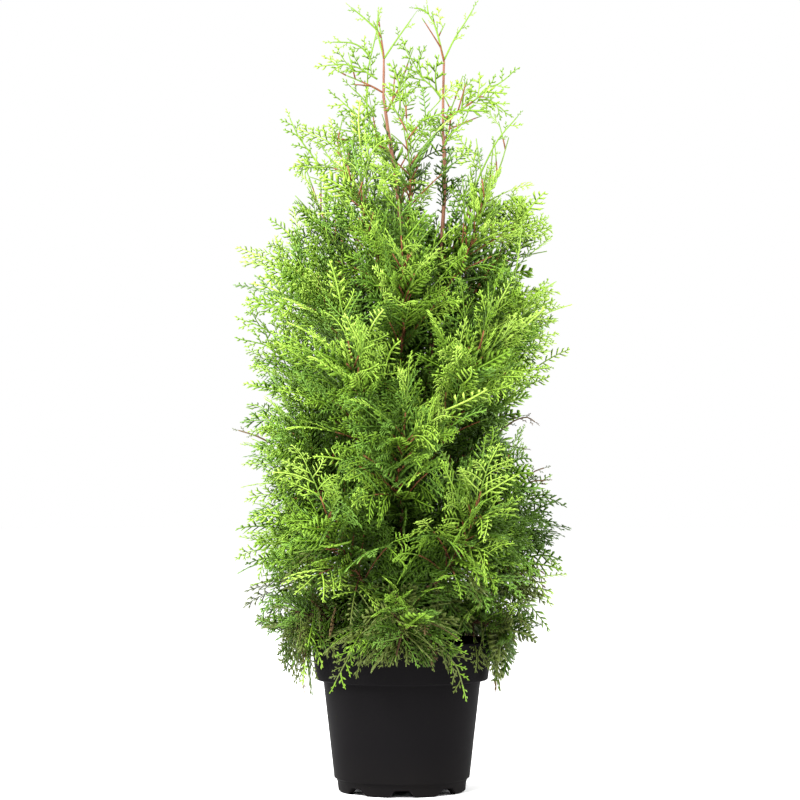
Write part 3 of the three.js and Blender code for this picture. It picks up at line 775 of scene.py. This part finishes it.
brown_count, green_count = (sum(len(faces) for _, faces in wood) for wood in (stem_wood, green_wood))
twig_wood = mesh_piece(
    "stems_and_twigs", *joined(stem_wood + green_wood), [young_bark, green_bark],
    np.repeat([0, 1], [brown_count, green_count]),
)
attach(twig_wood, "root")


# ---- Sprays of foliage
# Living shoots clad in scale leaves, which branch again and again in one plane and lie like flat, open
# ferns. Each shoot is a closed form of six faces, and the sprays are copies of a few dozen patterns.

SHOOT_THICKNESS = 0.3  # of a shoot's width
KNEE = 0.68  # where along its length a shoot is widest and bends
SPRAY_CUP = 0.005  # how far a spray's sides hang, for each millimetre squared from its middle


def ahead(degrees):
    """The direction in a spray's plane that heads so many degrees off its axis."""
    return np.array([math.sin(math.radians(degrees)), math.cos(math.radians(degrees)), 0.0])


def add_shoot(points, faces, root, heading, length, width, bend):
    """Adds a blunt blade of a shoot in the spray's plane, bent forward at its knee, and returns its line."""
    knee = root + ahead(heading) * length * KNEE
    tip = knee + ahead(heading - bend) * length * (1 - KNEE)
    side = ahead(heading + 90) * width / 2
    crest = knee + (0, 0, width * SHOOT_THICKNESS)
    n = len(points)
    points += [root + side * 0.6, root - side * 0.6, crest + side, crest - side, tip]
    faces += [(n, n + 2, n + 3), (n, n + 3, n + 1), (n + 3, n + 2, n + 4)]
    faces += [(n + 1, n + 4, n), (n + 4, n + 2, n), (n + 1, n + 3, n + 4)]
    return root, knee, tip


def spray_pattern(dice, length, reach, pitch, tooth_pitch, tooth, width, first=0.08, stub=0.0):
    """One flat spray along +Y: a bent axis, side shoots to left and right in turn, and teeth along those."""
    points, faces = [], []
    sway = dice.uniform(-0.1, 0.1) * length
    count = int(length * (0.98 - first) / pitch)
    marks = np.linspace(0, 1, 5)
    axis = np.stack([sway * np.sin(math.pi * marks), marks * length, 0 * marks], axis=1)
    for i in range(count):
        t = first + (0.98 - first) * (i + dice.uniform(0, 0.4)) / count
        side = 1 if i % 2 else -1
        root = np.array([sway * math.sin(math.pi * t), t * length, 0.0])
        fullness = max(math.sin(math.pi * (0.28 + 0.68 * t)), stub)
        own = reach * fullness * dice.uniform(0.66, 1.12)
        heading = side * (54 - 16 * t + dice.uniform(-7, 7))
        bend = side * dice.uniform(6, 26)
        root, knee, tip = add_shoot(points, faces, root, heading, own, width, bend)
        teeth = int((own - 0.6 * tooth) / tooth_pitch + dice.random()) if tooth_pitch else 0
        for j in range(teeth):
            s = 0.22 + 0.7 * (j + dice.uniform(-0.15, 0.15)) / teeth
            spot = lerp(root, knee, s / KNEE) if s < KNEE else lerp(knee, tip, (s - KNEE) / (1 - KNEE))
            turn = side if j % 2 else -side
            tooth_heading = heading - bend * s + turn * (40 + dice.uniform(-8, 8))
            own_tooth = min(tooth * dice.uniform(0.75, 1.15) * lerp(1.1, 0.7, s), 0.7 * own)
            add_shoot(points, faces, spot, tooth_heading, own_tooth, width * 0.92, turn * 14)
    stalk, stalk_faces = tube(axis, np.linspace(0.5, 0.36, 5) * width, 3, 0.7)
    points, faces = joined([(stalk, stalk_faces), (np.array(points), np.array(faces))])
    points[:, 2] -= SPRAY_CUP * dice.uniform(0.2, 1.6) * points[:, 0] ** 2
    return points, faces


# Each kind of spray: its count of patterns, how far its sides reach, and what they grow by.
SPRAY_KINDS = {
    "comb": (9, 14, 66, 19, 5.2, 0, 0, 3.0, 0.12, 0.4),
    "forked": (9, 21, 72, 26, 7.0, 6.2, 11.5, 2.9, 0.12),
    "fern": (8, 25, 84, 31, 6.6, 4.8, 10.5, 2.9),
    "open": (7, 15, 50, 19, 7.0, 6.0, 8, 2.7, 0.16, 0.3),
    "sprig": (5, 7, 25, 9, 4.6, 0, 0, 2.5, 0.2, 0.45),
    "shade": (4, 28, 84, 34, 5.6, 0, 0, 6.0),
}
dice = np.random.default_rng(23)
PATTERNS = {
    kind: [spray_pattern(dice, *shape) for _ in range(count)]
    for kind, (count, _, *shape) in SPRAY_KINDS.items()
}

# The greens, from this year's tips to a deep green for old shoots and painted shade inside the crown, and dry
# ones low down.
GREENS = {
    "fresh tip green": "#9cbb4a",
    "light green": "#8aac3a",
    "leaf green": "#6d9026",
    "cool green": "#648a30",
    "deep green": "#3b570a",
    "olive green": "#566328",
    "dry brown green": "#5f4c2e",
}
FRESH, LIGHT, LEAF, COOL, DEEP, OLIVE, DRY = range(len(GREENS))
greens = []
for name, colour in GREENS.items():
    # Scale leaves: softly glossy, each overlapping the next, which shows as a fine relief.
    leaf, tree, shader, where = new_material(
        f"thuja scale leaves, {name}", Base_Color=linear(colour), Roughness=0.55, Specular_IOR_Level=0.22,
    )
    add_relief(tree, shader, where, 620.0, 1.0, strength=0.4, depth=0.4)
    greens.append(leaf)

LIGHTER_OUTSIDE, LIGHTER_ABOVE = 0.72, 0.36  # how much lighter a spray's green is at the crown's edge and at its top: partly fresher growth, partly painted light
LEAST_VIGOUR_AND_LIGHT = [(FRESH, 0.92), (LIGHT, 0.72), (LEAF, 0.5)]  # of the sprays in each green
OLIVE_TOP = 330  # the height that olive and dry sprays reach up to
DRY_CHANCE = 0.05
SHADED_BRANCH, SHADED_REACH = (225, 405), 52  # x and height of a branch on the right whose sprays get painted shade, and how far that reaches


def deal_green(tip, vigour_and_light, dice):
    """The green of one spray, with painted light and shade: lighter at the top and outside, deeper inside and
    low down, olive near the pot.
    """
    outer = math.hypot(tip[0], tip[1]) / max(np.interp(tip[2], CROWN_HEIGHTS, CROWN_RADII), 1)
    height = np.clip((tip[2] - 200) / 900, 0, 1)
    # Partly real, partly painted light and shade: sprays at the crown's edge and top get lighter greens,
    # partly as fresher growth and partly as painted light. Those inside get deeper greens, partly as older
    # shoots and partly as painted shade.
    vigour_and_light += LIGHTER_OUTSIDE * outer + LIGHTER_ABOVE * height - 0.09 + dice.normal(0, 0.05)
    if tip[2] < OLIVE_TOP and dice.random() < 0.7 - (tip[2] - 180) / 260:
        return DRY if dice.random() < DRY_CHANCE else OLIVE
    # Deeper greens towards the bottom of the crown: partly older shoots, partly painted shade.
    vigour_and_light -= 0.3 * np.clip((OLIVE_TOP - tip[2]) / 130, 0, 1)
    # Painted shade: the sprays of one branch on the right get deeper greens, as if it stood in shade.
    from_shaded_branch = math.hypot(tip[0] - SHADED_BRANCH[0], tip[2] - SHADED_BRANCH[1])
    vigour_and_light -= 0.6 * math.exp(-from_shaded_branch ** 2 / SHADED_REACH ** 2)
    green = next((green for green, least in LEAST_VIGOUR_AND_LIGHT if vigour_and_light > least), DEEP)
    return COOL if green == LEAF and dice.random() >= 0.6 else green


SPRAY_TRIES = [1, 0.86, 0.72]
THIN_HEIGHTS, THIN_CHANCES = (700, 880, 985), (0, 0.66, 0.85)  # the crown opens towards its top
sprays = {tier: [] for tier in STYLES}
spray_greens = {tier: [] for tier in STYLES}


def add_spray(index, kind, base, along, facing, size, droop, dice, ease, vigour_and_light=0.0, share=1.0):
    """Adds one spray to its tier, as large as its mass's own space allows, or leaves it out."""
    tier = masses[index]["tier"]
    if dice.random() < np.interp(base[2], THIN_HEIGHTS, THIN_CHANCES):
        return
    across = unit(np.cross(along, facing))
    facing = np.cross(across, along)
    _, pattern_reach, pattern_length, *_ = SPRAY_KINDS[kind]
    for tried in SPRAY_TRIES:
        length = pattern_length * size * tried
        reach = pattern_reach * size * tried
        middle, tip = base + along * length * 0.55, base + along * length - UP * droop * length
        outline = np.array([middle + across * reach, middle - across * reach, tip])
        if in_own_space(index, outline, ease, share):
            break
    else:
        return
    points, faces = PATTERNS[kind][dice.integers(len(PATTERNS[kind]))]
    mirror = 1 if dice.random() < 0.5 else -1
    basis = np.array([across * mirror, along, facing * mirror])
    placed = points @ basis * size * tried + base
    placed[:, 2] -= droop * length * (points[:, 1] / pattern_length) ** 2
    sprays[tier].append((placed, faces))
    spray_greens[tier].append(np.full(len(faces), deal_green(tip, vigour_and_light, dice)))


INNER_KINDS, OUTER_KINDS = ["shade", "shade", "fern"], ["comb", "forked", "open"]
SHADE_SPRAYS = 22  # on the stem of a dense mass, close to the wood
SKIRT_FERNS = 12  # more on a stem of the skirt
for index, mass in enumerate(masses):
    if mass["tier"] == "top":
        continue
    dice = np.random.default_rng(3000 + mass["seed"])
    style, stem, frames = STYLES[mass["tier"]], mass["grown"], path_frames(mass["grown"])
    for k in range(SHADE_SPRAYS + (SKIRT_FERNS if mass["tier"] == "skirt" else 0)):
        if k < SHADE_SPRAYS:
            place = 0.03 + 0.85 * (k + dice.random()) / SHADE_SPRAYS
        else:
            place = dice.uniform(0.3, 1)
        step, base = spot_on(stem, place)
        along, facing = twig_pose(style, base, frames[step], 60 + k * GOLDEN_ANGLE, False, dice)
        kind = INNER_KINDS[dice.integers(len(INNER_KINDS))] if k < SHADE_SPRAYS else "fern"
        add_spray(index, kind, base, along, facing, dice.uniform(0.75, 1.1), 0.15, dice, SHADE_EASE)

# Short sprays straight from the older wood, on the boughs and up the trunk, which shade the middle. Each row:
# their mass, or None for the nearest, their wood, their count, the tier they grow like and their kinds.
WOOD_STEPS = 24
BARE_WOOD = 236  # no spray stands lower on it
clothed = [
    (index, path, 34, "skirt" if index < 2 * BOUGHS_A_WHORL else "lower", INNER_KINDS)
    for index, path in enumerate(bough_paths)
]
clothed += [
    (None, even_steps(trunk_path[:12], WOOD_STEPS), 200, "lower", INNER_KINDS),
    (None, even_steps(leader_path[2:10], WOOD_STEPS), 90, "lower", INNER_KINDS),
    (None, even_steps(trunk_path[-8:-2], WOOD_STEPS), 70, "upper", OUTER_KINDS),
    (None, even_steps(leader_path[-8:-2], WOOD_STEPS), 70, "upper", OUTER_KINDS),
]
for number, (owner, path, count, habit, kinds) in enumerate(clothed):
    dice = np.random.default_rng(7000 + number)
    frames = path_frames(path)
    for k in range(count):
        step, base = spot_on(path, 0.04 + 0.94 * (k + dice.random()) / count)
        if base[2] < BARE_WOOD:
            continue
        index = owner if owner is not None else int(distances_to_stems(base[None])[0].argmin())
        along, facing = twig_pose(STYLES[habit], base, frames[step], 40 + k * GOLDEN_ANGLE, False, dice)
        kind = kinds[dice.integers(len(kinds))]
        add_spray(index, kind, base, along, facing, dice.uniform(0.75, 1.15), 0.12, dice, LIMB_EASE)

# The sprays to the left and right of each twig, and the one at its end.
SPRAY_SPACING, TOP_SPACING = 11.6, 14.6
LONG_CHANCE = 0.35  # that the spray at the end is a long one, which stands out of the crown
for number, (index, path, facing, vigour_and_light, share) in enumerate(twigs):
    tier = masses[index]["tier"]
    is_top, is_skirt = tier == "top", tier == "skirt"
    dice = np.random.default_rng(5000 + number)
    style = STYLES[tier]
    ease = SPRAY_EASE + (SKIRT_EASE if is_skirt else 0)
    kinds = ["open", "sprig"] if is_top else ["comb", "comb", "forked"]
    count = max(int(path_length(path) / (TOP_SPACING if is_top else SPRAY_SPACING)), 2)
    for j in range(count):
        t = lerp(0.05 if is_skirt else 0.2, 0.96, (j + 0.3 * dice.random()) / count)
        step, base = spot_on(path, t)
        tangent = unit(path[step + 1] - path[step])
        side = 1 if j % 2 else -1
        heading = unit(rotated(tangent, facing, side * dice.uniform(38, 54)) + UP * style["lift"])
        face = rotated(facing, heading, dice.normal(0, 11))
        kind = kinds[dice.integers(len(kinds))]
        size = lerp(1.12, 0.72, t) * dice.uniform(0.8, 1.15)
        droop = style["droop"] + dice.uniform(-0.04, 0.16)
        add_spray(index, kind, base, heading, face, size, droop, dice, ease, vigour_and_light, share)
    if dice.random() < LONG_CHANCE and not is_skirt:
        kind, size, further = "comb", 1.3, 0.16
    else:
        kind, size, further = "open" if is_top else "forked", 0.8, 0.04
    tangent, droop = unit(path[-1] - path[-2]), style["droop"] + 0.05
    add_spray(index, kind, path[-1], tangent, facing, size, droop, dice, ease, vigour_and_light, share + further)

# The long open shoots that stand clear of the crown: the route of each, how far along it is bare, how large
# its side shoots are beside a spray, and how far apart they stand.
OPEN_SHOOTS = [
    ([(-28, 0, 1131), (-38, 3, 1176), (-37, 5, 1201)], 0.5, 0.5, 9),
    ([(-39, 3, 1177), (-57, 0, 1193), (-78, -4, 1210)], 0.3, 0.5, 9),
    ([(-28, 0, 1131), (-11, -4, 1156), (14, -8, 1191)], 0.3, 0.7, 14),
    ([(-34, 4, 1010), (-53, 10, 1046), (-54, 12, 1082), (-52, 12, 1120), (-46, 10, 1146), (-39, 6, 1176)],
     0.2, 0.8, 15),
    ([(-50, 11, 1136), (-62, 8, 1149), (-77, 4, 1156), (-105, 0, 1157)], 0.15, 0.7, 10),
    ([(-38, 4, 1100), (-70, 0, 1118), (-93, -4, 1122), (-111, -8, 1120)], 0.15, 1.0, 9),
    ([(-40, 2, 1041), (-60, -6, 1068), (-79, -10, 1086)], 0.15, 0.9, 9),
    ([(-24, 0, 974), (-52, -10, 1005), (-62, -14, 1035), (-80, -18, 1051), (-96, -20, 1065)], 0.3, 1.1, 8),
    ([(-45, -8, 998), (-76, -16, 1002), (-101, -22, 993)], 0.1, 1.0, 6),
    ([(-40, -2, 985), (-62, -4, 1012), (-103, -6, 1022)], 0.2, 1.0, 8),
    ([(-22, -4, 1049), (-12, -8, 1070), (0, -12, 1087), (9, -14, 1105)], 0.2, 1.0, 7),
    ([(61, -18, 1067), (47, -24, 1084), (29, -28, 1100), (19, -30, 1119)], 0.2, 1.3, 7),
    ([(57, -22, 980), (43, -28, 998), (29, -30, 1015), (3, -32, 1026), (-7, -34, 1042)], 0.25, 1.0, 9),
    ([(65, -14, 1127), (51, -14, 1181), (41, -14, 1199), (39, -12, 1212)], 0.5, 0.5, 10),
    ([(41, -14, 1199), (29, -16, 1206), (19, -18, 1207)], 0.2, 0.4, 6),
    ([(65, -14, 1127), (82, -16, 1161), (100, -16, 1189), (110, -16, 1206)], 0.35, 0.6, 11),
    ([(70, -16, 1035), (86, -12, 1047), (114, -6, 1067), (130, -2, 1085), (149, 2, 1092), (165, 4, 1104)],
     0.2, 1.2, 11),
    ([(118, -6, 1067), (136, -10, 1065), (153, -12, 1053)], 0.1, 0.9, 7),
    ([(92, -10, 1051), (95, -12, 1072), (97, -12, 1092)], 0.15, 0.8, 6),
    ([(60, -20, 985), (75, -24, 1010), (90, -28, 1024), (99, -30, 1038)], 0.25, 0.9, 8),
    ([(110, -20, 925), (128, -22, 965), (149, -24, 1004), (177, -26, 1037)], 0.45, 0.8, 13),
    ([(-110, 10, 930), (-135, 8, 975), (-160, 4, 1010), (-173, 2, 1037)], 0.35, 0.9, 10),
]
# Those that hang down in front of the pot's rim, on both sides of its middle, written in the same way.
HANGING_SHOOTS = [
    ([(1, -130, 266), (-38, -146, 258), (-70, -147, 232), (-86, -141, 204), (-99, -133, 179)], 0.35, 1.0, 8),
    ([(1, -130, 266), (36, -146, 256), (62, -149, 226), (82, -142, 200), (90, -137, 174)], 0.35, 1.0, 8),
]
# The dry shoots that curl out of the crown's sides.
DRY_SHOOTS = [
    ([(135, -6, 540), (157, -8, 558), (176, -10, 571), (194, -10, 575), (205, -10, 568)], 0.45, 0.4, 9),
    ([(135, 4, 538), (159, 2, 532), (192, 0, 526)], 0.45, 0.35, 9),
    ([(155, -12, 440), (179, -14, 462), (190, -14, 480), (205, -16, 492), (219, -16, 497)], 0.45, 0.45, 9),
    ([(180, -14, 464), (200, -16, 476), (221, -16, 478)], 0.4, 0.4, 8),
    ([(-200, -10, 534), (-224, -12, 546), (-252, -14, 555)], 0.4, 0.45, 9),
]
# The long sprays that close the gap between two branches on the left.
LEFT_SHOOTS = [
    ([(-152, 49, 648), (-172, 32, 680), (-198, 18, 703), (-222, 9, 717), (-237, 5, 723)], 0.3, 1.1, 8),
    ([(-152, 49, 648), (-184, 44, 668), (-210, 37, 687), (-235, 32, 694)], 0.3, 1.1, 8),
    ([(-127, -46, 756), (-162, -42, 752), (-198, -38, 744), (-227, -36, 746)], 0.3, 1.1, 8),
]
SHOOT_STEPS = 12
SHOOT_RADII = (1.6, 1.0)
MAIN_CHANCE = 0.6  # that a side shoot has the main green of the two
shoots = [
    (*setting, *shoot)
    for setting, group in (
        (("top", LEAF, LIGHT), OPEN_SHOOTS), (("skirt", OLIVE, LEAF), HANGING_SHOOTS),
        (("lower", DRY, OLIVE), DRY_SHOOTS), (("middle", LEAF, LIGHT), LEFT_SHOOTS),
    )
    for shoot in group
]
for number, (tier, main_green, other_green, route, bare, size, spacing) in enumerate(shoots):
    dice = np.random.default_rng(9000 + number)
    path = smooth_route(route, SHOOT_STEPS)
    axis = tube(path, np.linspace(*SHOOT_RADII, SHOOT_STEPS + 1), 5)
    sprays[tier].append(axis)
    spray_greens[tier].append(np.full(len(axis[1]), main_green))
    count = int(path_length(path) * (1 - bare) / spacing)
    for j in range(count + 1):
        is_end = j == count
        t = 1 if is_end else bare + (1 - bare) * (j + dice.uniform(-0.2, 0.2)) / count
        t = min(max(t, 0), 1)
        step, base = spot_on(path, t)
        tangent = unit(path[step + 1] - path[step])
        facing = unit(np.cross(tangent, np.cross((0, -1, 0.2), tangent)))
        facing = rotated(facing, tangent, dice.normal(0, 30))
        side = 0 if is_end else 1 if j % 2 else -1
        heading = rotated(tangent, facing, side * dice.uniform(36, 50))
        own = size * lerp(1.1, 0.75, t) * dice.uniform(0.7, 1.15)
        kind = "open" if own > 0.85 and dice.random() < 0.5 else "sprig"
        scale = own * (0.85 if kind == "open" else 1.3)
        points, faces = PATTERNS[kind][dice.integers(len(PATTERNS[kind]))]
        basis = np.array([unit(np.cross(heading, facing)), heading, facing])
        sprays[tier].append((points @ basis * scale + base, faces))
        green = main_green if dice.random() < MAIN_CHANCE else other_green
        spray_greens[tier].append(np.full(len(faces), green))

for tier, parts in sprays.items():
    foliage = mesh_piece(f"sprays_{tier}", *joined(parts), greens, np.concatenate(spray_greens[tier]))
    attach(foliage, "root")
    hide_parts(*(mass["node"] for mass in masses if mass["tier"] == tier))


# ---- Floor, light and camera
# The plant stands on a plain pale floor in soft studio light: a bright, even surround, a large soft box in
# front and above, and one to either side that catches the edges of the crown.

bpy.ops.mesh.primitive_circle_add(vertices=96, radius=14, fill_type="NGON")
floor = bpy.context.object
floor.name = "studio_floor"
paper, *_ = new_material(
    "white studio floor", Base_Color=(1, 1, 1, 1), Roughness=1.0, Specular_IOR_Level=0.0,
)
floor.data.materials.append(paper)

world = bpy.data.worlds.new("studio surround")
world.use_nodes = True
surround = world.node_tree.nodes["Background"]
surround.inputs["Color"].default_value = (1, 1, 1, 1)
surround.inputs["Strength"].default_value = 1.0
bpy.context.scene.world = world


def soft_box(name, place, size, watts):
    """A square area light that faces the middle of the crown."""
    lamp = bpy.data.lights.new(name, "AREA")
    lamp.size = size
    lamp.energy = watts
    box = bpy.data.objects.new(name, lamp)
    box.location = place
    aim = np.array([0, 0, 0.65]) - np.array(place)
    level = math.hypot(aim[0], aim[1])
    box.rotation_euler = (math.pi / 2 + math.atan2(aim[2], level), 0, math.atan2(-aim[0], aim[1]))
    bpy.context.scene.collection.objects.link(box)


soft_box("key soft box", (-1.3, -2.4, 3.1), 1.5, 340)
soft_box("left edge light", (-2.6, 0.9, 1.2), 1.2, 90)
soft_box("right edge light", (2.6, 0.9, 1.2), 1.2, 95)

CAMERA_ASIDE, CAMERA_DISTANCE, CAMERA_HEIGHT, LOOK_HEIGHT = -0.003, 4.2, 0.525, 0.602
FOCAL_LENGTH = 122.2  # mm, on a 36 mm sensor
camera_data = bpy.data.cameras.new("camera")
camera_data.sensor_width = 36
camera_data.lens = FOCAL_LENGTH
camera_data.clip_end = 60
camera = bpy.data.objects.new("camera", camera_data)
camera.location = (CAMERA_ASIDE, -CAMERA_DISTANCE, CAMERA_HEIGHT)
camera.rotation_euler = (math.pi / 2 + math.atan2(LOOK_HEIGHT - CAMERA_HEIGHT, CAMERA_DISTANCE), 0, 0)
bpy.context.scene.collection.objects.link(camera)
bpy.context.scene.camera = camera
bpy.context.scene.view_settings.view_transform = "Standard"
